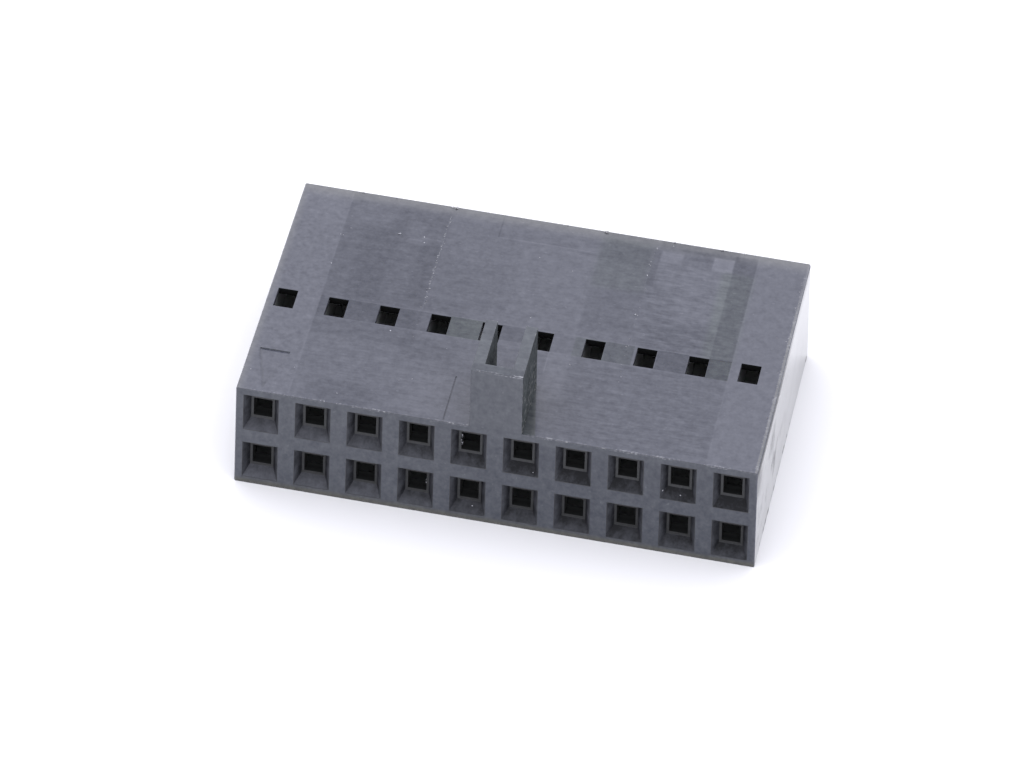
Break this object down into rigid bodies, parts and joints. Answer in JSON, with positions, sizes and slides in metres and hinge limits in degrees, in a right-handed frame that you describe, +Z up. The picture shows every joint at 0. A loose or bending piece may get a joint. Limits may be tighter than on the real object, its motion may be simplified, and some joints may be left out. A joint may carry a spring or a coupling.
{
  "type": "connector housing",
  "caption": "Dual-row crimp connector housing with latch windows, tapered post entries, open wire side and a U-shaped polarising key.",
  "frame": {"origin": "middle of the footprint, on the underside", "axes": "+X along the rows from circuit 1's column to the last, +Y from the mating face to the wire side, +Z up through the face that carries the key"},
  "size_m": [0.0254, 0.015, 0.0081],
  "materials": {
    "housing": "fine matte, as moulded"
  },
  "bodies": {
    "root": {"housing": "housing"}
  },
  "joints": []
}
